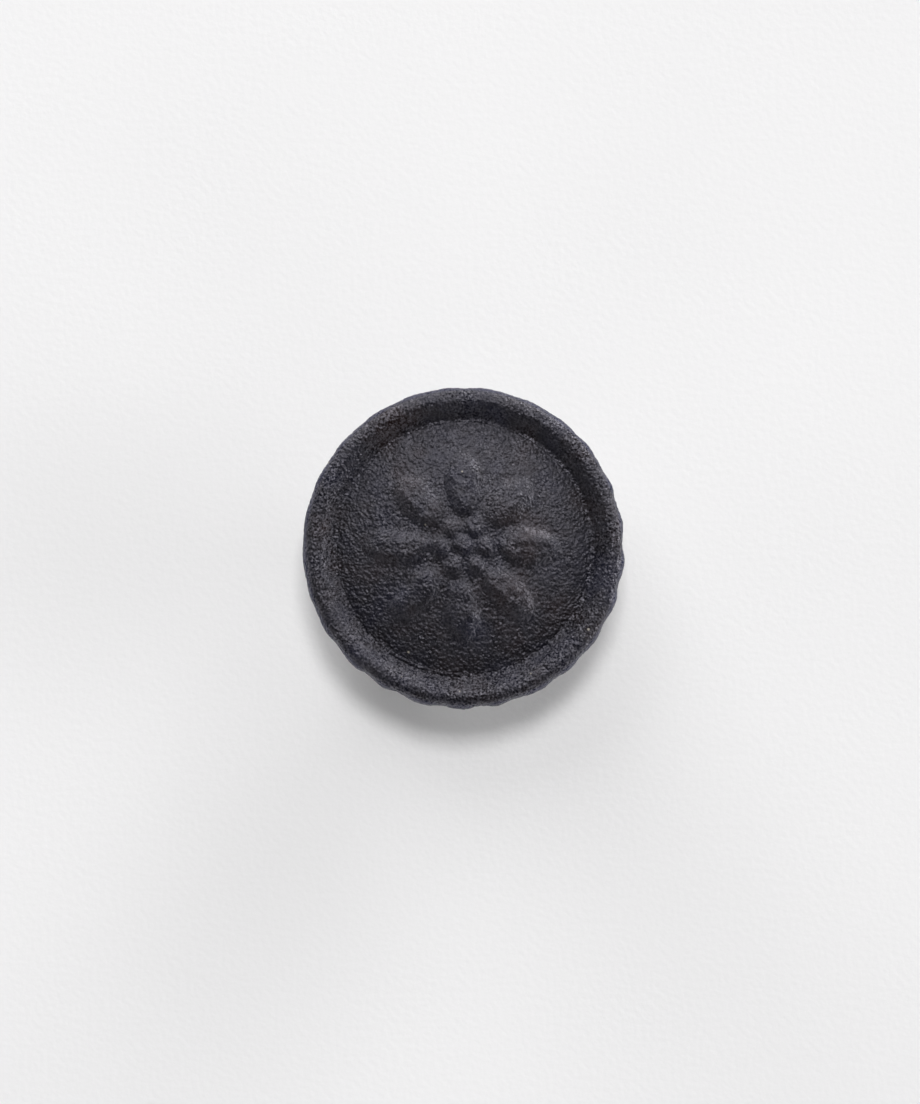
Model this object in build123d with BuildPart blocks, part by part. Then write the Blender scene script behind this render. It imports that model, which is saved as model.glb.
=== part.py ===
from build123d import *
from math import asin, cos, degrees, hypot, isclose, radians, sin
import os

# A sew-on shank button of three-piece construction, 25.4 mm (40 line) across.
#
# A domed face and a dished back are stacked flange to flange. A rolled rim ring closes over both
# flanges and is crimped behind the back. A drilled shank is riveted through the back over a
# washer, and a pasteboard packing fills the space under the face. Millimetres, +Z out of the
# face, the origin at the centre of the shank's foot.

# ---- driving dimensions -------------------------------------------------------------------
rim_radius = 12.7  # over the crests of the scalloped edge
sheet = 0.4  # every pressed piece is struck from the same sheet
shank_height = 5.0
back_depth = 2.1  # from the seat of the shank up to the flange of the back
dome_height = 1.24
gap = 0.05  # working clearance between pieces that are slipped together

# ---- the flange stack, from the shank's seat upwards --------------------------------------
seat_z = shank_height
back_flange_z = seat_z + back_depth
face_flange_z = back_flange_z + sheet
lip_seat_z = face_flange_z + sheet
valley_z = lip_seat_z + sheet
dome_top_z = valley_z + dome_height
flange_radius = 11.9

# ---- the rolled rim -----------------------------------------------------------------------
valley_radius = 10.0  # inner edge of the rim, where the face begins
bead_radius = 1.0
bead_drop = 0.15  # how far the bead's centre lies below the edge of the face
bead_r = rim_radius - bead_radius
bead_z = valley_z - bead_drop
crimp_radius = 0.6
crimp_lip_r = 10.7
scallops = 25
scallop_depth = 0.18
scallop_cutter_radius = 3.6
first_valley = 1.3  # degrees round from +X
pleat_width = 0.3
pleat_inner_r = 10.4
pleat_outer_r = 12.0

# ---- the back, the shank and its washer ---------------------------------------------------
seat_radius = 4.0
bowl_r = 10.3  # where the bowl of the back turns into its flange
bowl_mid_r = 7.4
bowl_mid_rise = 0.62
tenon_radius = 1.55
tenon_hole_radius = tenon_radius + gap
washer_radius = 3.4
washer_thickness = 0.5
rivet_head_radius = 2.4
rivet_head_height = 0.55
rivet_head_fillet = 0.45
tongue_length = 6.4
tongue_thickness = 4.2
tongue_corner = 1.4
shank_flange_thickness = 0.8
shank_neck_fillet = 0.6
shank_foot_fillet = 0.4
eye_radius = 1.2
eye_z = 2.1
eye_chamfer = 0.35

# ---- the packing --------------------------------------------------------------------------
packing_z = 6.65
packing_radius = 9.3
packing_bevel = 0.9

# ---- the struck rosette -------------------------------------------------------------------
petals = 8
petal_base_r = 2.7
petal_tip_r = 7.4
petal_width = 2.6
petal_relief = 0.4
ring_berries = 6
berry_ring_r = 1.75
berry_radius = 0.7
heart_radius = 0.8  # the berry in the middle
berry_sink = 0.45  # share of a berry's radius that its centre lies under the face

# The face is part of a sphere.
face_sphere = (valley_radius**2 + dome_height**2) / (2 * dome_height)
face_centre_z = dome_top_z - face_sphere


def dome_z(r, below=0.0):
    """Height of the plain face at radius r, or of a surface lying below it."""
    return face_centre_z + ((face_sphere - below) ** 2 - r**2) ** 0.5


def at_angle(centre, radius, angle):
    """The point at that angle and radius from a centre, in the plane of the section."""
    return (centre[0] + radius * cos(radians(angle)), centre[1] + radius * sin(radians(angle)))


def make_rim_ring():
    """The bezel: a sloping lip, a hollow bead, a scalloped wall and a crimp turned in behind."""
    bead = (bead_r, bead_z)
    reach, drop = bead_r - valley_radius, valley_z - bead_z
    distance = hypot(reach, drop)
    slope = degrees(asin(bead_radius / distance) - asin(drop / distance))
    touch = 90 + slope  # where the lip runs into the bead
    crown = touch / 2
    inner_bead = bead_radius - sheet

    crimp = (rim_radius - crimp_radius, back_flange_z - sheet + crimp_radius)
    inner_crimp = crimp_radius - sheet
    wall_r = rim_radius - sheet

    lip_under = at_angle(bead, inner_bead, touch)
    lip_run = (lip_under[1] - lip_seat_z) / sin(radians(slope))
    lip_land_r = lip_under[0] - lip_run * cos(radians(slope))

    with BuildPart() as ring:
        with BuildSketch(Plane.XZ):
            with BuildLine():
                Polyline(
                    (lip_land_r, lip_seat_z),
                    (valley_radius, lip_seat_z),
                    (valley_radius, valley_z),
                    at_angle(bead, bead_radius, touch),
                )
                ThreePointArc(*(at_angle(bead, bead_radius, a) for a in (touch, crown, 0)))
                Line((rim_radius, bead_z), (rim_radius, crimp[1]))
                ThreePointArc(*(at_angle(crimp, crimp_radius, a) for a in (0, -45, -90)))
                Polyline(
                    (crimp[0], back_flange_z - sheet),
                    (crimp_lip_r, back_flange_z - sheet),
                    (crimp_lip_r, back_flange_z),
                    (crimp[0], back_flange_z),
                )
                ThreePointArc(*(at_angle(crimp, inner_crimp, a) for a in (-90, -45, 0)))
                Line((wall_r, crimp[1]), (wall_r, bead_z))
                ThreePointArc(*(at_angle(bead, inner_bead, a) for a in (0, crown, touch)))
                Line(lip_under, (lip_land_r, lip_seat_z))
            make_face()
        revolve(axis=Axis.Z)

        # Upright flutes draw the edge in between the scallops.
        flute_r = rim_radius - scallop_depth + scallop_cutter_radius
        with PolarLocations(flute_r, scallops, start_angle=first_valley):
            Cylinder(scallop_cutter_radius, 2 * rim_radius, mode=Mode.SUBTRACT)

        # A slit under each flute lets the crimped lip fold in without wrinkling.
        pleat_r = (pleat_outer_r + pleat_inner_r) / 2
        with BuildSketch(Plane.XY.offset(back_flange_z)):
            with PolarLocations(pleat_r, scallops, start_angle=first_valley):
                SlotOverall(pleat_outer_r - pleat_inner_r, pleat_width)
        extrude(amount=-2 * sheet, mode=Mode.SUBTRACT)
    ring.part.label = "rim_ring"
    export_step(ring.part, "parts/rim_ring.step")


def make_petals():
    """The petals of the rosette, as pads whose tops follow the dome of the face."""
    with BuildPart() as pads:
        with BuildSketch(Plane.XY.offset(face_flange_z)):
            for k in range(petals):
                base = at_angle((0, 0), petal_base_r, k * 360 / petals)
                tip = at_angle((0, 0), petal_tip_r, k * 360 / petals)
                with BuildLine():
                    SagittaArc(base, tip, petal_width / 2)
                    SagittaArc(base, tip, -petal_width / 2)
                make_face()
        extrude(amount=2 * dome_height + sheet)
        with Locations((0, 0, face_centre_z)):
            Sphere(face_sphere + petal_relief, mode=Mode.INTERSECT)
    return pads.part


def make_berries():
    """Each berry of the rosette's heart: x, y and radius."""
    ring = [at_angle((0, 0), berry_ring_r, k * 360 / ring_berries) for k in range(ring_berries)]
    return [(0, 0, heart_radius)] + [(x, y, berry_radius) for x, y in ring]


def make_face_shell():
    """The struck face: a dome with the rosette in low relief, and a flange held under the rim."""
    edge_r = valley_radius - gap
    wall_r = edge_r - sheet
    with BuildPart() as shell:
        with BuildSketch(Plane.XZ):
            with BuildLine():
                ThreePointArc(*((r, dome_z(r)) for r in (0, edge_r / 2, edge_r)))
                Polyline(
                    (edge_r, dome_z(edge_r)),
                    (edge_r, lip_seat_z),
                    (flange_radius, lip_seat_z),
                    (flange_radius, face_flange_z),
                    (0, face_flange_z),
                    (0, dome_z(0)),
                )
            make_face()
        revolve(axis=Axis.Z)
        add(make_petals())
        for x, y, radius in make_berries():
            with Locations((x, y, dome_z(hypot(x, y)) - berry_sink * radius)):
                Sphere(radius)

        # The hollow under the dome leaves one thickness of sheet.
        with BuildSketch(Plane.XZ):
            with BuildLine():
                ThreePointArc(*((r, dome_z(r, sheet)) for r in (wall_r, wall_r / 2, 0)))
                Polyline(
                    (0, dome_z(0, sheet)),
                    (0, face_flange_z),
                    (wall_r, face_flange_z),
                    (wall_r, dome_z(wall_r, sheet)),
                )
            make_face()
        revolve(axis=Axis.Z, mode=Mode.SUBTRACT)
    shell.part.label = "face_shell"
    export_step(shell.part, "parts/face_shell.step")


def make_packing_disc():
    """The pasteboard packing that backs the dome of the face."""
    top = sheet + gap
    with BuildPart() as disc:
        with BuildSketch(Plane.XZ):
            with BuildLine():
                ThreePointArc(
                    *((r, dome_z(r, top)) for r in (0, packing_radius / 2, packing_radius))
                )
                Polyline(
                    (packing_radius, dome_z(packing_radius, top)),
                    (packing_radius, packing_z + packing_bevel),
                    (packing_radius - packing_bevel, packing_z),
                    (0, packing_z),
                    (0, dome_z(0, top)),
                )
            make_face()
        revolve(axis=Axis.Z)
    disc.part.label = "packing_disc"
    export_step(disc.part, "parts/packing_disc.step")


def make_back_shell():
    """The dished back: a flat seat with the tenon hole, a bowl, and a flange under the face's."""
    seat = (seat_radius, seat_z)
    middle = (bowl_mid_r, seat_z + bowl_mid_rise)
    brim = (bowl_r, back_flange_z)

    def lifted(point):
        return (point[0], point[1] + sheet)

    with BuildPart() as back:
        with BuildSketch(Plane.XZ):
            with BuildLine():
                Line((tenon_hole_radius, seat_z), seat)
                ThreePointArc(seat, middle, brim)
                Polyline(brim, (flange_radius, back_flange_z), (flange_radius, face_flange_z))
                Line((flange_radius, face_flange_z), lifted(brim))
                ThreePointArc(lifted(brim), lifted(middle), lifted(seat))
                Polyline(
                    lifted(seat), (tenon_hole_radius, seat_z + sheet), (tenon_hole_radius, seat_z)
                )
            make_face()
        revolve(axis=Axis.Z)
    back.part.label = "back_shell"
    export_step(back.part, "parts/back_shell.step")


def make_shank_washer():
    """The plain washer that spreads the rivet's pull inside the back."""
    with BuildPart() as washer:
        with BuildSketch(Plane.XY.offset(seat_z + sheet)):
            Circle(washer_radius)
            Circle(tenon_hole_radius, mode=Mode.SUBTRACT)
        extrude(amount=washer_thickness)
    washer.part.label = "shank_washer"
    export_step(washer.part, "parts/shank_washer.step")


def make_shank():
    """The drilled shank: a flat-footed tongue, a round flange, and a tenon riveted over."""
    flange_z = seat_z - shank_flange_thickness
    head_z = seat_z + sheet + washer_thickness
    with BuildPart() as shank:
        with BuildSketch():
            RectangleRounded(tongue_length, tongue_thickness, tongue_corner)
        extrude(amount=flange_z)
        fillet(shank.faces().sort_by(Axis.Z)[0].edges(), shank_foot_fillet)
        with BuildSketch(Plane.XY.offset(flange_z)):
            Circle(seat_radius)
        extrude(amount=shank_flange_thickness)
        with BuildSketch(Plane.XY.offset(seat_z)):
            Circle(tenon_radius)
        extrude(amount=head_z - seat_z)
        with BuildSketch(Plane.XY.offset(head_z)):
            Circle(rivet_head_radius)
        extrude(amount=rivet_head_height)
        fillet(shank.faces().sort_by(Axis.Z)[-1].edges(), rivet_head_fillet)

        # The neck flares into the flange.
        flange_under = shank.faces().filter_by(Plane.XY).group_by(Axis.Z)[1]
        fillet(flange_under[0].inner_wires()[0].edges(), shank_neck_fillet)

        # The thread's eye is bored through the thin way and eased at both mouths.
        with Locations(Location((0, 0, eye_z), (90, 0, 0))):
            Cylinder(eye_radius, tongue_thickness, mode=Mode.SUBTRACT)
        circles = shank.edges().filter_by(GeomType.CIRCLE)
        chamfer(circles.filter_by(lambda edge: isclose(edge.radius, eye_radius)), eye_chamfer)
    shank.part.label = "shank"
    export_step(shank.part, "parts/shank.step")


os.makedirs("parts", exist_ok=True)
make_rim_ring()
make_face_shell()
make_packing_disc()
make_back_shell()
make_shank_washer()
make_shank()
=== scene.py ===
import random
from math import asin, atan2, cos, degrees, hypot, pi, radians, sin

import bpy
import numpy as np
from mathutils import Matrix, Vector, noise


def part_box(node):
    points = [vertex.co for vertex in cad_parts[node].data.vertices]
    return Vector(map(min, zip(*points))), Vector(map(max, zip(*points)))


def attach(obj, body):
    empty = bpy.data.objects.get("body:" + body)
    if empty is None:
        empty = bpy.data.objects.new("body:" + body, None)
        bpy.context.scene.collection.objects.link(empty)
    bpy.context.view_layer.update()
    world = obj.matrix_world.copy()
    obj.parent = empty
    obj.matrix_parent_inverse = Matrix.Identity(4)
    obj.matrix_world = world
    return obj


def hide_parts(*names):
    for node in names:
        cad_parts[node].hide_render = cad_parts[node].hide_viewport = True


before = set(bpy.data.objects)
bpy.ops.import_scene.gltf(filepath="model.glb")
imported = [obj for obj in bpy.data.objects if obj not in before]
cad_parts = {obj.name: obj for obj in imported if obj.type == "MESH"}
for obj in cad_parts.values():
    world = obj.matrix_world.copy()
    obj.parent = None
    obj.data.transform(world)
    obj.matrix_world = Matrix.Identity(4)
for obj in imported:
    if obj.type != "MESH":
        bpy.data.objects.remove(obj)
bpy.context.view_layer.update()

# Lengths below are in millimetres, in the CAD frame; MM turns them into Blender's metres.
MM = 0.001
SEED = 11

# ---- sizes, from the frame and the part's driving dimensions --------------------------------
rim_low, rim_high = (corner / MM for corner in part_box("rim_ring"))
back_low, back_high = (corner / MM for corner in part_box("back_shell"))
shank_low, shank_high = (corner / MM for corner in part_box("shank"))

sheet = 0.4
rim_radius = (rim_high.x - rim_low.x) / 2
crimp_z = rim_low.z
crown_z = rim_high.z
flange_radius = back_high.x
face_flange_z = back_high.z
lip_seat_z = face_flange_z + sheet

bead_radius = 1.0
valley_fillet = 0.6
bead_r = rim_radius - bead_radius
bead_z = crown_z - bead_radius
valley_radius = 10.0
valley_z = lip_seat_z + sheet
crimp_radius = 0.6
crimp_lip_r = 10.7

dome_height = 1.24
face_edge_r = valley_radius - 0.05
face_sphere = (valley_radius**2 + dome_height**2) / (2 * dome_height)
face_centre_z = valley_z + dome_height - face_sphere

scallops = 25
scallop_pitch = 360 / scallops
first_valley = 1.3  # degrees round from +X
scallop_depth = 0.2

seat_radius = 4.0
seat_z = back_low.z
bowl_r = 10.3
bowl_mid = (7.4, seat_z + 0.62)
tenon_hole_radius = 1.6


# ---- small helpers ----------------------------------------------------------------------------
def smoothstep(low, high, value):
    """0 below low, 1 above high, and a smooth ramp between; low may be the larger."""
    t = np.clip((value - low) / (high - low), 0, 1)
    return t * t * (3 - 2 * t)


def grain(points, size, seed, octaves=2):
    """Smooth noise, about -1 to 1, whose lumps are that wide, at an array of points."""
    offset = Vector((seed * 7.31, seed * 3.17, seed * 5.53))
    return np.array([
        noise.fractal(Vector(p) / size + offset, 0.9, 2.1, octaves) for p in points
    ])


def pebbles(points, size, seed):
    """Rounded grains that wide, 0 between them and 1 on their tops, at an array of points."""
    offset = Vector((seed * 2.71, seed * 9.13, seed * 4.37))
    nearest = np.array([noise.voronoi(Vector(p) / size + offset)[0][0] for p in points])
    return 1 - np.clip(nearest / 0.75, 0, 1) ** 2


def coat_lift(points, seed):
    """How far the pebbled coat stands proud at an array of points: slow lumps, grit and fine grain."""
    lumps = grain(points, 2.0, seed, 3)
    grit = pebbles(points, 0.25, seed + 1) - 0.5
    fine = grain(points, 0.30, seed + 2, 1)
    return 0.030 * lumps + 0.034 * grit + 0.020 * fine


def mesh_piece(name, points, faces):
    """A smooth-shaded mesh object from points in millimetres."""
    mesh = bpy.data.meshes.new(name)
    mesh.from_pydata((np.asarray(points) * MM).tolist(), [], faces)
    mesh.validate()
    mesh.polygons.foreach_set("use_smooth", [True] * len(mesh.polygons))
    piece = bpy.data.objects.new(name, mesh)
    bpy.context.scene.collection.objects.link(piece)
    return piece


def arc_points(centre, radius, start, end, step):
    """Points along an arc of a profile, start and end in degrees, both ends included."""
    count = max(2, round(abs(radians(end - start)) * radius / step))
    return [
        (centre[0] + radius * cos(radians(a)), centre[1] + radius * sin(radians(a)))
        for a in np.linspace(start, end, count + 1)
    ]


def line_points(start, end, step):
    """Points along a straight stretch of a profile, both ends included."""
    count = max(1, round(hypot(end[0] - start[0], end[1] - start[1]) / step))
    return [tuple(p) for p in np.linspace(start, end, count + 1)]


def joined(*stretches):
    """One profile from stretches that meet end to end."""
    profile = [stretches[0][0]]
    for stretch in stretches:
        profile += [p for p in stretch if hypot(p[0] - profile[-1][0], p[1] - profile[-1][1]) > 1e-6]
    return profile


def outward(profile, closed):
    """Unit normals of a profile, on the left of its direction of travel."""
    p = np.array(profile)
    if closed:
        tangent = np.roll(p, -1, axis=0) - np.roll(p, 1, axis=0)
    else:
        tangent = np.gradient(p, axis=0)
    normal = np.stack([-tangent[:, 1], tangent[:, 0]], axis=1)
    return normal / np.linalg.norm(normal, axis=1)[:, None]


def ring_faces(rows, columns, closed):
    """Quads of a grid of points that closes round its columns and, if asked, its rows."""
    faces = []
    for i in range(rows if closed else rows - 1):
        a, b = i * columns, ((i + 1) % rows) * columns
        for j in range(columns):
            k = (j + 1) % columns
            faces.append((a + j, a + k, b + k, b + j))
    return faces


# ---- the camera, the lights and the floor -------------------------------------------------------
def place_camera():
    """Almost straight down on the face, and leaning a little to its -Y side."""
    field_width = 72.1  # what the picture's width takes in at the height of the rim
    distance = 330
    elevation = radians(87)
    aim = Vector((-0.29, -0.37, crown_z))
    data = bpy.data.cameras.new("camera")
    data.sensor_fit = "HORIZONTAL"
    data.sensor_width = 36
    data.lens = data.sensor_width * distance / field_width
    data.clip_start = 0.01
    data.clip_end = 10
    camera = bpy.data.objects.new("camera", data)
    back = Vector((0, -cos(elevation), sin(elevation)))
    camera.location = (aim + distance * back) * MM
    camera.rotation_euler = back.to_track_quat("Z", "Y").to_euler()
    bpy.context.scene.collection.objects.link(camera)
    bpy.context.scene.camera = camera


def place_light(name, azimuth, elevation, size, power):
    """A square soft box, well over a metre off, that points at the button."""
    distance = 1400
    data = bpy.data.lights.new(name, "AREA")
    data.size = size * MM
    data.energy = power
    light = bpy.data.objects.new(name, data)
    a, e = radians(azimuth), radians(elevation)
    towards = Vector((cos(e) * cos(a), cos(e) * sin(a), sin(e)))
    light.location = towards * distance * MM
    light.rotation_euler = towards.to_track_quat("Z", "Y").to_euler()
    bpy.context.scene.collection.objects.link(light)


def make_world():
    """A room seen in the coat: bright low down, and dark overhead where the camera hangs."""
    world = bpy.data.worlds.new("studio")
    world.use_nodes = True
    tree = world.node_tree
    direction = tree.nodes.new("ShaderNodeTexCoord").outputs["Generated"]

    def glow(azimuth, elevation, focus, strength):
        """A soft bright patch: that strong in its middle, and fading faster the larger its focus."""
        a, e = radians(azimuth), radians(elevation)
        dot = tree.nodes.new("ShaderNodeVectorMath")
        dot.operation = "DOT_PRODUCT"
        dot.inputs[1].default_value = (cos(e) * cos(a), cos(e) * sin(a), sin(e))
        tree.links.new(direction, dot.inputs[0])
        facing = math_node(tree, "MAXIMUM", dot.outputs["Value"], 0)
        return math_node(tree, "MULTIPLY", math_node(tree, "POWER", facing, focus), strength)

    # Low windows all the way round, that fade from the brightest side of the room to the dimmest.
    brightest, bright, dim = 50, 24, 5
    total = glow(brightest, elevation=10, focus=2, strength=0.3)
    for azimuth in range(0, 360, 60):
        facing = (1 + cos(radians(azimuth - brightest))) / 2
        strength = dim + (bright - dim) * facing**2
        window = glow(azimuth, elevation=5, focus=40, strength=strength)
        total = math_node(tree, "ADD", total, window)
    tree.links.new(total, tree.nodes["Background"].inputs["Strength"])
    tree.nodes["Background"].inputs["Color"].default_value = (1, 1, 1, 1)
    return world


def place_floor():
    """A plain pale sheet of card under the button."""
    half = 600
    corners = [(-half, -half, 0), (half, -half, 0), (half, half, 0), (-half, half, 0)]
    floor = mesh_piece("floor", corners, [(0, 1, 2, 3)])
    material, tree, shader = new_material("floor_card")
    mottle = noise_node(tree, 60, detail=3)
    color = ramp_node(tree, mottle, [(0.3, (0.875, 0.87, 0.875)), (0.7, (0.905, 0.90, 0.905))])
    tree.links.new(color, shader.inputs["Base Color"])
    shader.inputs["Roughness"].default_value = 0.85
    shader.inputs["Specular IOR Level"].default_value = 0.2
    tooth = noise_node(tree, 0.5, detail=4)
    add_bump(tree, shader, [(tooth, 0.02)])
    floor.data.materials.append(material)


# ---- shader building blocks -----------------------------------------------------------------------
def new_material(name):
    """A material with one Principled shader, and its tree."""
    material = bpy.data.materials.new(name)
    material.use_nodes = True
    tree = material.node_tree
    return material, tree, tree.nodes["Principled BSDF"]


def coordinates(tree):
    """The row frame's coordinates, in millimetres."""
    source = tree.nodes.new("ShaderNodeTexCoord")
    scale = tree.nodes.new("ShaderNodeVectorMath")
    scale.operation = "SCALE"
    scale.inputs["Scale"].default_value = 1 / MM
    tree.links.new(source.outputs["Object"], scale.inputs[0])
    return scale.outputs[0]


def noise_node(tree, size, detail=2.0, roughness=0.5, seed=0.0):
    """Noise whose lumps are about that many millimetres wide."""
    node = tree.nodes.new("ShaderNodeTexNoise")
    node.noise_dimensions = "4D"
    node.inputs["W"].default_value = seed
    node.inputs["Scale"].default_value = 1 / size
    node.inputs["Detail"].default_value = detail
    node.inputs["Roughness"].default_value = roughness
    tree.links.new(coordinates(tree), node.inputs["Vector"])
    return node.outputs["Fac"]


def cell_node(tree, size, output="Distance", feature="F1", seed=0.0):
    """Cells about that many millimetres wide."""
    node = tree.nodes.new("ShaderNodeTexVoronoi")
    node.voronoi_dimensions = "4D"
    node.feature = feature
    node.inputs["W"].default_value = seed
    node.inputs["Scale"].default_value = 1 / size
    tree.links.new(coordinates(tree), node.inputs["Vector"])
    return node.outputs[output]


def ramp_node(tree, value, stops):
    """A colour ramp from (position, colour) stops."""
    node = tree.nodes.new("ShaderNodeValToRGB")
    ramp = node.color_ramp
    while len(ramp.elements) < len(stops):
        ramp.elements.new(0.5)
    for element, (position, color) in zip(ramp.elements, stops):
        element.position = position
        element.color = (*color, 1)
    tree.links.new(value, node.inputs["Fac"])
    return node.outputs["Color"]


def range_node(tree, value, from_low, from_high, to_low, to_high):
    """Maps one range of a value onto another, held at both ends."""
    node = tree.nodes.new("ShaderNodeMapRange")
    for socket, number in (
        ("From Min", from_low), ("From Max", from_high), ("To Min", to_low), ("To Max", to_high),
    ):
        node.inputs[socket].default_value = number
    tree.links.new(value, node.inputs["Value"])
    return node.outputs["Result"]


def math_node(tree, operation, a, b):
    """A maths node; a and b are sockets or numbers."""
    node = tree.nodes.new("ShaderNodeMath")
    node.operation = operation
    for socket, value in zip(node.inputs, (a, b)):
        if isinstance(value, (int, float)):
            socket.default_value = value
        else:
            tree.links.new(value, socket)
    return node.outputs["Value"]


def mix_node(tree, factor, a, b):
    """A colour mix; a and b are sockets or colours."""
    node = tree.nodes.new("ShaderNodeMix")
    node.data_type = "RGBA"
    tree.links.new(factor, node.inputs["Factor"])
    for socket, value in ((node.inputs[6], a), (node.inputs[7], b)):
        if isinstance(value, tuple):
            socket.default_value = (*value, 1)
        else:
            tree.links.new(value, socket)
    return node.outputs[2]


def add_bump(tree, shader, layers):
    """Bump from (height, depth in millimetres) layers, one node each."""
    normal = None
    for height, depth in layers:
        node = tree.nodes.new("ShaderNodeBump")
        node.inputs["Distance"].default_value = depth * MM
        tree.links.new(height, node.inputs["Height"])
        if normal:
            tree.links.new(normal, node.inputs["Normal"])
        normal = node.outputs["Normal"]
    tree.links.new(normal, shader.inputs["Normal"])


# ---- materials ------------------------------------------------------------------------------------
def shoulder_reflection_mask(tree):
    """Picks out the rim's outer shoulder, where its bead turns down into the wall, for a painted blue
    reflection.
    """
    flat = tree.nodes.new("ShaderNodeVectorMath")
    flat.operation = "MULTIPLY"
    flat.inputs[1].default_value = (1, 1, 0)
    tree.links.new(coordinates(tree), flat.inputs[0])
    away = tree.nodes.new("ShaderNodeVectorMath")
    away.operation = "LENGTH"
    tree.links.new(flat.outputs["Vector"], away.inputs[0])
    outer = range_node(tree, away.outputs["Value"], rim_radius - 0.4, rim_radius - 0.15, 0, 0.8)
    height = tree.nodes.new("ShaderNodeSeparateXYZ")
    tree.links.new(coordinates(tree), height.inputs[0])
    upper = range_node(tree, height.outputs["Z"], bead_z - 0.1, bead_z + 0.3, 0, 1)
    return math_node(tree, "MULTIPLY", outer, upper)


def coat_material(name, glint=0.30, dust=True, painted_blue_reflection=False):
    """Near-black pebbled powder coat: blue-black and brown-black patches, satin, a little dust."""
    material, tree, shader = new_material(name)
    patches = noise_node(tree, 4.0, detail=3, roughness=0.6)
    color = ramp_node(tree, patches, [
        (0.32, (0.0108, 0.0060, 0.0055)),
        (0.50, (0.0060, 0.0055, 0.0074)),
        (0.68, (0.0062, 0.0068, 0.0145)),
    ])
    fine = noise_node(tree, 0.16, detail=2, seed=1.7)
    color = mix_node(tree, range_node(tree, fine, 0.52, 0.75, 0, 0.7), color, (0.024, 0.023, 0.027))
    # Painted reflection: the rim's outer shoulder gets a blue tint in its colour, standing in for the
    # bluish light its edge catches.
    if painted_blue_reflection:
        reflection_mask = shoulder_reflection_mask(tree)
        color = mix_node(tree, reflection_mask, color, (0.009, 0.011, 0.036))
    if dust:
        specks = cell_node(tree, 0.8, seed=3.1)
        rare = cell_node(tree, 0.8, output="Color", seed=3.1)
        chosen = math_node(tree, "GREATER_THAN", rare, 0.70)
        dot = range_node(tree, specks, 0.10, 0.17, 1, 0)
        color = mix_node(tree, math_node(tree, "MULTIPLY", dot, chosen), color, (0.34, 0.31, 0.26))
    tree.links.new(color, shader.inputs["Base Color"])
    rough = range_node(tree, noise_node(tree, 0.9, detail=4, seed=4.0), 0.3, 0.7, 0.32, 0.50)
    tree.links.new(rough, shader.inputs["Roughness"])
    # Worn grain tops shine more than the pits between them.
    tops = math_node(tree, "SUBTRACT", noise_node(tree, 0.16, detail=2, seed=9.0), 0.5)
    gain = range_node(tree, noise_node(tree, 2.2, detail=2, seed=10.0), 0.35, 0.65, 0.25, 1.2)
    swing = math_node(tree, "MULTIPLY", tops, gain)
    shine = range_node(tree, swing, -0.11, 0.11, 0.55 - glint, 0.55 + glint)
    tree.links.new(shine, shader.inputs["Specular IOR Level"])
    shader.inputs["Specular Tint"].default_value = (0.90, 0.87, 1.0, 1)
    add_bump(tree, shader, [
        (cell_node(tree, 0.20, feature="SMOOTH_F1", seed=6.0), -0.095),
        (noise_node(tree, 0.12, detail=3, seed=7.0), 0.045),
    ])
    return material


def steel_material():
    """Dull stamped steel: fine scratches and tool marks."""
    material, tree, shader = new_material("washer_steel")
    patches = noise_node(tree, 1.4, detail=4)
    color = ramp_node(tree, patches, [(0.3, (0.30, 0.29, 0.27)), (0.7, (0.46, 0.45, 0.43))])
    tree.links.new(color, shader.inputs["Base Color"])
    shader.inputs["Metallic"].default_value = 1
    rough = range_node(tree, noise_node(tree, 0.3, detail=3, seed=2), 0.3, 0.7, 0.3, 0.5)
    tree.links.new(rough, shader.inputs["Roughness"])
    add_bump(tree, shader, [(noise_node(tree, 0.12, detail=3, seed=3), 0.006)])
    return material


def board_material():
    """Grey-brown pasteboard with fibres."""
    material, tree, shader = new_material("packing_board")
    pulp = noise_node(tree, 0.5, detail=5, roughness=0.7)
    color = ramp_node(tree, pulp, [(0.3, (0.24, 0.17, 0.10)), (0.7, (0.42, 0.33, 0.22))])
    fibres = noise_node(tree, 0.15, detail=2, seed=2)
    color = mix_node(tree, range_node(tree, fibres, 0.6, 0.75, 0, 0.7), color, (0.55, 0.47, 0.36))
    tree.links.new(color, shader.inputs["Base Color"])
    shader.inputs["Roughness"].default_value = 0.9
    add_bump(tree, shader, [(noise_node(tree, 0.2, detail=4, seed=5), 0.03)])
    return material


# ---- the rosette in relief --------------------------------------------------------------------------
petals = 8
petal_base_r = 2.7
petal_tip_r = 7.4
petal_width = 2.8
petal_height = 0.56
ring_berries = 6
berry_ring_r = 1.75
berry_radius = 0.75
heart_radius = 0.85  # the berry in the middle
berry_height = 0.34


def petal_lift(x, y, angle):
    """Height of one petal: arched across, round at its ends, with a faint midrib and slanting veins."""
    rib_width, rib_depth = 0.18, 0.22
    vein_pitch, vein_slant, vein_depth = 1.3, 1.1, 0.14
    length = petal_tip_r - petal_base_r
    along = (x * cos(angle) + y * sin(angle) - petal_base_r) / length
    across = y * cos(angle) - x * sin(angle)
    inside = np.clip(along, 0, 1)
    bow = 4 * inside * (1 - inside)
    half = petal_width / 2 * bow**0.5 + 1e-3
    body = np.clip(1 - (across / half) ** 2, 0, 1) ** 0.7 * bow**0.3
    rib = np.exp(-((across / rib_width) ** 2))
    vein_phase = (along * length - vein_slant * np.abs(across)) / vein_pitch
    veins = 0.5 + 0.5 * np.cos(2 * pi * vein_phase)
    return petal_height * body * (1 - vein_depth * veins - rib_depth * rib)


def berry_lift(x, y, centre_x, centre_y, radius):
    """Height of one berry: a low round pip, pinched in where it meets its neighbours."""
    r2 = ((x - centre_x) ** 2 + (y - centre_y) ** 2) / radius**2
    return berry_height * np.sqrt(np.clip(1 - r2, 0, 1))


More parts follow.
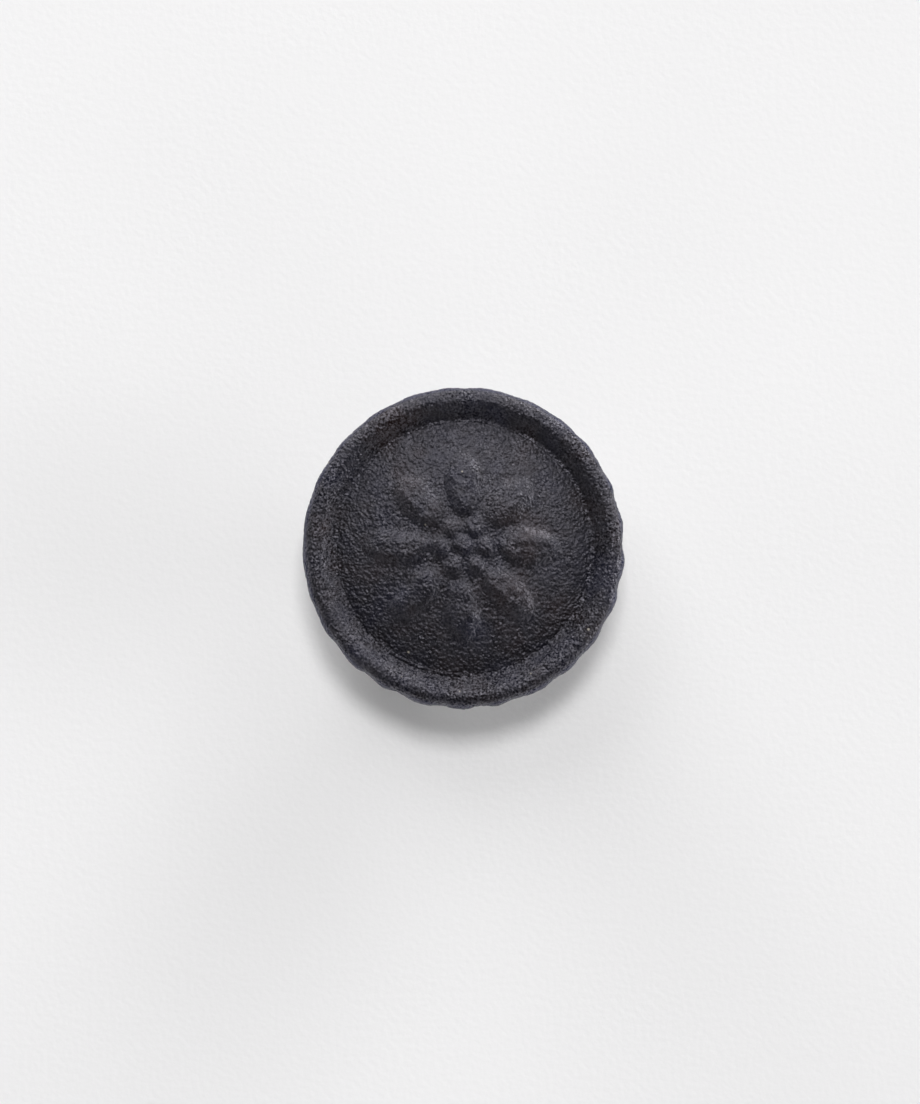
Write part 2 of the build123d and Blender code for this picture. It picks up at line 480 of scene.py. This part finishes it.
def noise_field(x, y, size, seed):
    """Smooth noise over a square grid of points, worked out coarsely and drawn out to fit."""
    cell = 0.3
    low, high = x.min(), x.max()
    axis = np.arange(low, high + cell, cell)
    cx, cy = np.meshgrid(axis, axis)
    coarse = grain(np.stack([cx, cy, np.zeros_like(cx)], axis=-1).reshape(-1, 3), size, seed, 2)
    return bilinear(coarse.reshape(cx.shape), (y - low) / cell, (x - low) / cell)


def bilinear(field, i, j):
    """A field read between its cells."""
    i = np.clip(i, 0, field.shape[0] - 1.001)
    j = np.clip(j, 0, field.shape[1] - 1.001)
    i0, j0 = np.floor(i).astype(int), np.floor(j).astype(int)
    fi, fj = i - i0, j - j0
    near = field[i0, j0] * (1 - fj) + field[i0, j0 + 1] * fj
    far = field[i0 + 1, j0] * (1 - fj) + field[i0 + 1, j0 + 1] * fj
    return near * (1 - fi) + far * fi


def blurred(field, width):
    """The field softened by a bell curve that many cells wide."""
    reach = int(3 * width) + 1
    kernel = np.exp(-0.5 * (np.arange(-reach, reach + 1) / width) ** 2)
    kernel /= kernel.sum()
    for axis in (0, 1):
        field = np.apply_along_axis(lambda line: np.convolve(line, kernel, mode="same"), axis, field)
    return field


def make_relief():
    """The worn rosette as a height field, and a function that reads it at any point of the face."""
    cell = 0.06
    wander, softness = 0.30, 0.17
    half = face_edge_r + 0.6
    axis = np.arange(-half, half + cell, cell)
    x, y = np.meshgrid(axis, axis)

    # The outlines wander a little, as on a worn strike under a thick coat.
    wander_x = x + wander * noise_field(x, y, 1.3, SEED + 20)
    wander_y = y + wander * noise_field(x, y, 1.3, SEED + 21)
    field = berry_lift(wander_x, wander_y, 0, 0, heart_radius)
    for angle in np.arange(ring_berries) * 2 * pi / ring_berries:
        centre = berry_ring_r * cos(angle), berry_ring_r * sin(angle)
        field = np.maximum(field, berry_lift(wander_x, wander_y, *centre, berry_radius))
    for angle in np.arange(petals) * 2 * pi / petals:
        field = np.maximum(field, petal_lift(wander_x, wander_y, angle))
    worn = 0.92 + 0.40 * noise_field(x, y, 1.8, SEED + 22)
    soft = blurred(field * worn, softness / cell)

    def read(px, py):
        return bilinear(soft, (py + half) / cell, (px + half) / cell)

    return read


# ---- the face ---------------------------------------------------------------------------------------
def dome_z(r, below=0.0):
    """Height of the plain face at radius r, or of a surface lying below it."""
    return face_centre_z + ((face_sphere - below) ** 2 - r**2) ** 0.5


def disc_grid(count, radius):
    """An even square grid of points drawn out into a disc."""
    side = np.linspace(-1, 1, count + 1)
    a, b = np.meshgrid(side, side)
    wide = np.abs(a) > np.abs(b)
    r = np.where(wide, a, b)
    safe_a, safe_b = np.where(a == 0, 1, a), np.where(b == 0, 1, b)
    angle = np.where(wide, pi / 4 * b / safe_a, pi / 2 - pi / 4 * a / safe_b)
    return radius * r * np.cos(angle), radius * r * np.sin(angle)


def make_face():
    """The struck face: a fine grid for the dome and its rosette, and a plain turned flange and hollow."""
    count = 270
    x, y = disc_grid(count, face_edge_r)
    r = np.hypot(x, y)
    relief = make_relief()
    height = dome_z(r) + relief(x, y)
    points = np.stack([x, y, height], axis=-1).reshape(-1, 3)
    edge = smoothstep(face_edge_r, face_edge_r - 0.15, r.ravel())
    points[:, 2] += edge * coat_lift(points, SEED)

    rows = [(i * (count + 1), (i + 1) * (count + 1)) for i in range(count)]
    faces = [(a + j, a + j + 1, b + j + 1, b + j) for a, b in rows for j in range(count)]

    # The grid's own border, anticlockwise, carries on into the turned stretch below.
    n = count + 1
    border = (
        [j for j in range(count)]
        + [i * n + count for i in range(count)]
        + [count * n + j for j in range(count, 0, -1)]
        + [i * n for i in range(count, 0, -1)]
    )
    ring = points[border]
    wall_r = face_edge_r - sheet
    profile = [
        (face_edge_r, lip_seat_z + sheet / 2),
        (face_edge_r, lip_seat_z),
        (flange_radius, lip_seat_z),
        (flange_radius, face_flange_z),
        (wall_r, face_flange_z),
        (wall_r, dome_z(wall_r, sheet)),
    ] + [(s * wall_r, dome_z(s * wall_r, sheet)) for s in (0.85, 0.65, 0.45, 0.25, 0.1)]
    round_border = ring[:, :2] / face_edge_r
    turned = [np.column_stack([round_border * pr, np.full(len(ring), pz)]) for pr, pz in profile]
    loops = [border] + [
        [len(points) + k * len(ring) + j for j in range(len(ring))] for k in range(len(turned))
    ]
    for upper, lower in zip(loops, loops[1:]):
        for j in range(len(ring)):
            k = (j + 1) % len(ring)
            faces.append((upper[k], upper[j], lower[j], lower[k]))
    last = loops[-1]
    pole = last[-1] + 1
    faces += [(last[(j + 1) % len(ring)], last[j], pole) for j in range(len(ring))]
    points = np.vstack([points, *turned, [(0, 0, dome_z(0, sheet))]])

    face = mesh_piece("face", points, faces)
    face.data.materials.append(coat_material("face_coat"))
    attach(face, "root")
    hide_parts("face_shell")


# ---- the rim ----------------------------------------------------------------------------------------
def scallop_pull(angle):
    """How far each scallop's valley draws the edge in at an angle in degrees: uneven, and lopsided."""
    dice = random.Random(SEED)
    rise, fall = 8.4, 6.0  # degrees that a valley takes up on either side of its middle
    clearest = 305  # azimuth where the scallops are least worn
    pull = np.zeros_like(angle)
    for k in range(scallops):
        centre = first_valley + k * scallop_pitch + dice.uniform(-1.5, 1.5)
        depth = scallop_depth * dice.uniform(0.75, 1.2)
        away = (angle - centre + 180) % 360 - 180
        width = np.where(away > 0, rise, fall) * dice.uniform(0.9, 1.1)
        bump = np.where(np.abs(away) < width, 0.5 + 0.5 * np.cos(pi * away / width), 0)
        pull = np.maximum(pull, depth * bump)
    worn = 0.30 + 0.70 * smoothstep(-0.5, 0.4, np.cos(np.radians(angle - clearest)))
    return pull * worn


def rim_profile(step):
    """The ring's section: lip, bead, wall, crimp, and back along the inside."""
    # The coat rounds the valley between the face and the bead; the slope is tangent to both.
    valley, bead = (valley_radius + 0.05, valley_z + valley_fillet), (bead_r, bead_z)
    reach, drop = bead[0] - valley[0], bead[1] - valley[1]
    slope = degrees(asin((valley_fillet + bead_radius) / hypot(reach, drop)) + atan2(drop, reach))
    crimp = (rim_radius - crimp_radius, crimp_z + crimp_radius)
    inner_bead, inner_crimp = bead_radius - sheet, crimp_radius - sheet
    tip_reach, tip_drop = 0.04, 0.08  # how far the lip's tip runs on into the face
    crimp_edge = 0.14  # radius of the crimp's rounded end
    sunk = arc_points(valley, valley_fillet, 255, 270 + slope, step)
    over = arc_points(bead, bead_radius, 90 + slope, 0, step)
    outside = joined(
        line_points((sunk[0][0] - tip_reach, sunk[0][1] - tip_drop), sunk[0], 0.05),
        sunk,
        line_points(sunk[-1], over[0], step),
        over,
        line_points((rim_radius, bead_z), (rim_radius, crimp[1]), step),
        arc_points(crimp, crimp_radius, 0, -90, step),
        line_points((crimp[0], crimp_z), (crimp_lip_r + crimp_edge, crimp_z), step),
        arc_points((crimp_lip_r + crimp_edge, crimp_z + crimp_edge), crimp_edge, 270, 180, 0.07),
    )
    coarse = 4 * step
    inside = joined(
        line_points((crimp_lip_r, crimp_z + sheet), (crimp[0], crimp_z + sheet), coarse),
        arc_points(crimp, inner_crimp, -90, 0, coarse),
        line_points((rim_radius - sheet, crimp[1]), (rim_radius - sheet, bead_z), coarse),
        arc_points(bead, inner_bead, 0, 90 + slope, coarse),
        line_points((valley_radius + 0.7, lip_seat_z), (sunk[0][0] - tip_reach, lip_seat_z), coarse),
    )
    return outside, inside


def make_rim():
    """The rolled ring, with uneven scallops, pleats in its crimp and a pebbled coat."""
    step = 0.085
    columns = 38 * scallops
    nick_width, nick_depth = 0.8, 0.07
    proud_at, proud_height = 252, 0.08  # azimuth and height of the lip's ragged tip
    pleat_width, pleat_depth = 0.13, 0.16
    outside, inside = rim_profile(step)
    profile = outside + inside
    skin = len(outside)
    normals = outward(profile, closed=True)
    angle = np.arange(columns) * 360 / columns
    c, s = np.cos(np.radians(angle)), np.sin(np.radians(angle))
    nicks = grain(rim_radius * np.column_stack([c, s, 0 * c]), nick_width, SEED + 15, 3)
    pull = scallop_pull(angle) + nick_depth * np.clip(nicks, 0, None)

    rings, radial = [], []
    for (pr, pz), (nr, nz) in zip(profile, normals):
        # The scallops are deepest on the wall, and die out over the bead and along the crimp.
        over = smoothstep(bead_r - 0.1, rim_radius - 0.1, pr)
        reach = over * smoothstep(crown_z + 0.05, bead_z + 0.3, pz)
        r = pr - pull * reach
        rings.append(np.column_stack([r * c, r * s, np.full(columns, pz)]))
        radial.append(np.column_stack([nr * c, nr * s, np.full(columns, nz)]))
    points, normal = np.vstack(rings), np.vstack(radial)

    count = skin * columns
    visible = points[:count]
    lift = coat_lift(visible, SEED + 3)

    # The lip's ragged tip stands proud of the face where the ring was rolled down last.
    around = np.degrees(np.arctan2(visible[:, 1], visible[:, 0]))
    from_tip = np.hypot(visible[:, 0], visible[:, 1]) - face_edge_r
    proud = proud_height * smoothstep(26, 8, np.abs((around - proud_at + 180) % 360 - 180))
    ragged = 1 + 0.8 * grain(visible, 0.7, SEED + 12, 2)
    on_top = visible[:, 2] > lip_seat_z
    lift += on_top * proud * ragged * smoothstep(0.30, 0.05, from_tip)

    # Pleats in the crimped lip, one under each scallop's valley.
    nearest = (around - first_valley + scallop_pitch / 2) % scallop_pitch - scallop_pitch / 2
    beside = np.radians(nearest) * np.hypot(visible[:, 0], visible[:, 1])
    under = smoothstep(crimp_z + 0.45, crimp_z + 0.1, visible[:, 2])
    lift -= pleat_depth * under * np.exp(-((beside / pleat_width) ** 2))
    points[:count] += normal[:count] * lift[:, None]

    # Nothing stands out past the box of the part.
    r = np.hypot(points[:, 0], points[:, 1])
    points[:, :2] *= np.minimum(1, rim_radius / r)[:, None]
    points[:, 2] = np.clip(points[:, 2], crimp_z, None)

    rim = mesh_piece("rim", points, ring_faces(len(profile), columns, closed=True))
    # The rim's coat takes the painted blue reflection on its outer shoulder.
    rim.data.materials.append(coat_material("rim_coat", glint=0.50, painted_blue_reflection=True))
    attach(rim, "root")
    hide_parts("rim_ring")


# ---- the back ---------------------------------------------------------------------------------------
def arc_through(a, b, c, step):
    """Points along the arc through three points of a profile."""
    ax, ay, bx, by, cx, cy = *a, *b, *c
    d = 2 * (ax * (by - cy) + bx * (cy - ay) + cx * (ay - by))
    ux = ((ax**2 + ay**2) * (by - cy) + (bx**2 + by**2) * (cy - ay) + (cx**2 + cy**2) * (ay - by)) / d
    uy = ((ax**2 + ay**2) * (cx - bx) + (bx**2 + by**2) * (ax - cx) + (cx**2 + cy**2) * (bx - ax)) / d
    radius = hypot(ax - ux, ay - uy)
    start, end = degrees(atan2(ay - uy, ax - ux)), degrees(atan2(cy - uy, cx - ux))
    return arc_points((ux, uy), radius, start, end, step)


def make_back():
    """The dished back with its pebbled coat."""
    step = 0.13
    columns = 560
    seat, brim = (seat_radius, seat_z), (bowl_r, face_flange_z - sheet)

    def lifted(point):
        return (point[0], point[1] + sheet)

    outside = joined(
        line_points((tenon_hole_radius, seat_z), seat, step),
        arc_through(seat, bowl_mid, brim, step),
        line_points(brim, (flange_radius, brim[1]), 2 * step),
    )
    inside = joined(
        line_points((flange_radius, face_flange_z), lifted(brim), 4 * step),
        arc_through(lifted(brim), lifted(bowl_mid), lifted(seat), 6 * step),
        line_points(lifted(seat), (tenon_hole_radius, seat_z + sheet), 6 * step),
    )
    profile = (outside + inside)[::-1]
    normals = outward(profile, closed=True)
    angle = np.radians(np.arange(columns) * 360 / columns)
    c, s = np.cos(angle), np.sin(angle)

    def turned(pairs):
        return np.vstack([np.column_stack([r * c, r * s, np.full(columns, z)]) for r, z in pairs])

    points, normal = turned(profile), turned(normals)

    first = len(inside) * columns
    r = np.hypot(points[first:, 0], points[first:, 1])
    clear_of_shank = smoothstep(seat_radius - 0.1, seat_radius + 0.4, r)
    open_skin = clear_of_shank * smoothstep(bowl_r + 0.2, bowl_r - 0.1, r)
    points[first:] += normal[first:] * (open_skin * coat_lift(points[first:], SEED + 6))[:, None]

    back = mesh_piece("back", points, ring_faces(len(profile), columns, closed=True))
    back.data.materials.append(coat_material("back_coat"))
    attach(back, "root")
    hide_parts("back_shell")


# ---- the shank --------------------------------------------------------------------------------------
def make_shank():
    """The drilled shank, with its edges softened under the coat."""
    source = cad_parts["shank"]
    shank = bpy.data.objects.new("drilled_shank", source.data.copy())
    bpy.context.scene.collection.objects.link(shank)
    remesh = shank.modifiers.new("even", "REMESH")
    remesh.mode = "VOXEL"
    remesh.voxel_size = 0.10 * MM
    smooth = shank.modifiers.new("soften", "SMOOTH")
    smooth.factor = 0.5
    smooth.iterations = 4
    graph = bpy.context.evaluated_depsgraph_get()
    final = bpy.data.meshes.new_from_object(shank.evaluated_get(graph))
    shank.modifiers.clear()
    shank.data = final
    final.name = "drilled_shank"

    count = len(final.vertices)
    points, normal = np.empty(count * 3), np.empty(count * 3)
    final.vertices.foreach_get("co", points)
    final.vertices.foreach_get("normal", normal)
    points, normal = points.reshape(-1, 3) / MM, normal.reshape(-1, 3)
    thinner = 0.6  # the coat is smoother here than on the pressed pieces
    points += normal * thinner * coat_lift(points, SEED + 9)[:, None]
    points[:, 2] = np.clip(points[:, 2], shank_low.z, shank_high.z)
    final.vertices.foreach_set("co", (points * MM).ravel())
    final.polygons.foreach_set("use_smooth", [True] * len(final.polygons))
    final.materials.clear()
    final.materials.append(coat_material("shank_coat", dust=False))
    final.update()
    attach(shank, "root")
    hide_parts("shank")


def finish_inner_pieces():
    """The washer and the packing keep their CAD shapes and get their own finishes."""
    for node, material in (("shank_washer", steel_material()), ("packing_disc", board_material())):
        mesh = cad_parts[node].data
        mesh.materials.clear()
        mesh.materials.append(material)


place_camera()
place_light("window", azimuth=115, elevation=41, size=780, power=4.0)
place_light("overhead", azimuth=85, elevation=73, size=310, power=8.8)
place_floor()
make_face()
make_rim()
make_back()
make_shank()
finish_inner_pieces()

scene = bpy.context.scene
scene.view_settings.view_transform = "Standard"
scene.world = make_world()
